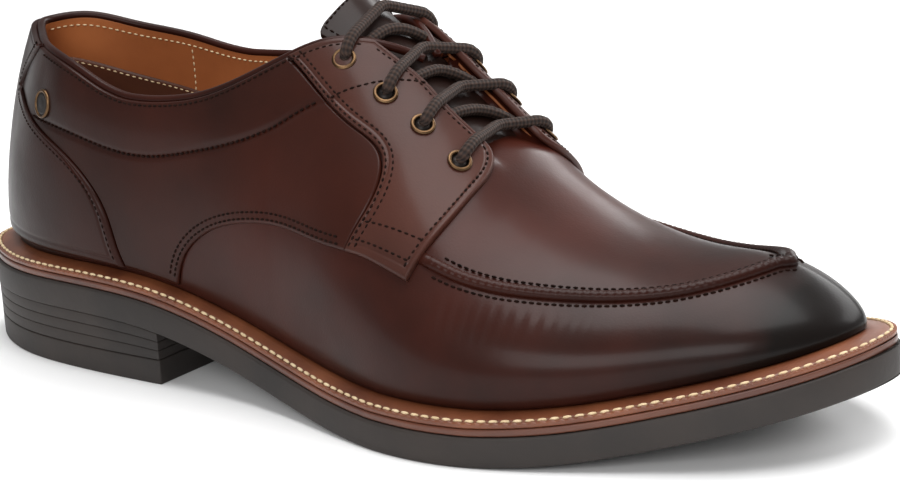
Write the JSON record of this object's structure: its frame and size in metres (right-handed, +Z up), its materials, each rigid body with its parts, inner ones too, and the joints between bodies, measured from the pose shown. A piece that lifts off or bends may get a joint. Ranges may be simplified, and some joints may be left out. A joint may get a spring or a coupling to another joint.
{
  "type": "derby dress shoe",
  "caption": "Apron-toe derby dress shoe for the right foot, hollow, laced over a tongue, with raised counter and quarter panels on a welted sole with a low stacked heel.",
  "frame": {"origin": "middle of the floor rectangle that the shoe covers, at floor height", "axes": "+X towards the toe, +Y towards the inner (medial) side of the right foot, +Z up from the floor"},
  "size_m": [0.304, 0.1084, 0.1086],
  "materials": {
    "sole_rubber": "matt dark grey-brown rubber with fine side grooves",
    "welt_leather": "reddish-brown leather edge, satin, scored along its rim",
    "lining_leather": "tan lining leather, matt",
    "vamp_leather": "burnished dark reddish-brown leather, glossy",
    "quarter_leather": "burnished dark reddish-brown leather, glossy",
    "facing_leather": "dark brown leather, glossy, slightly lighter",
    "dark_leather": "darkest brown leather, glossy",
    "eyelet_brass": "antique brass, darkened",
    "lace_fabric": "flat-waxed dark brown round braid"
  },
  "bodies": {
    "root": {"outsole": "sole_rubber", "heel_block": "sole_rubber", "heel_top_piece": "sole_rubber", "midsole": "welt_leather", "welt": "welt_leather", "insole": "lining_leather", "upper": "vamp_leather", "tongue": "dark_leather", "counter": "dark_leather", "apron_seam": "quarter_leather", "quarter_lateral": "quarter_leather", "facing_lateral": "facing_leather", "quarter_medial": "quarter_leather", "facing_medial": "facing_leather", "heel_stud": "eyelet_brass", "eyelet_lateral_1": "eyelet_brass", "eyelet_lateral_2": "eyelet_brass", "eyelet_lateral_3": "eyelet_brass", "eyelet_lateral_4": "eyelet_brass", "eyelet_medial_1": "eyelet_brass", "eyelet_medial_2": "eyelet_brass", "eyelet_medial_3": "eyelet_brass", "eyelet_medial_4": "eyelet_brass", "lace_bar_1": "lace_fabric", "lace_bar_2": "lace_fabric", "lace_bar_3": "lace_fabric", "lace_bar_4": "lace_fabric", "lace_under_1": "lace_fabric", "lace_under_2": "lace_fabric", "lace_under_3": "lace_fabric"}
  },
  "joints": []
}
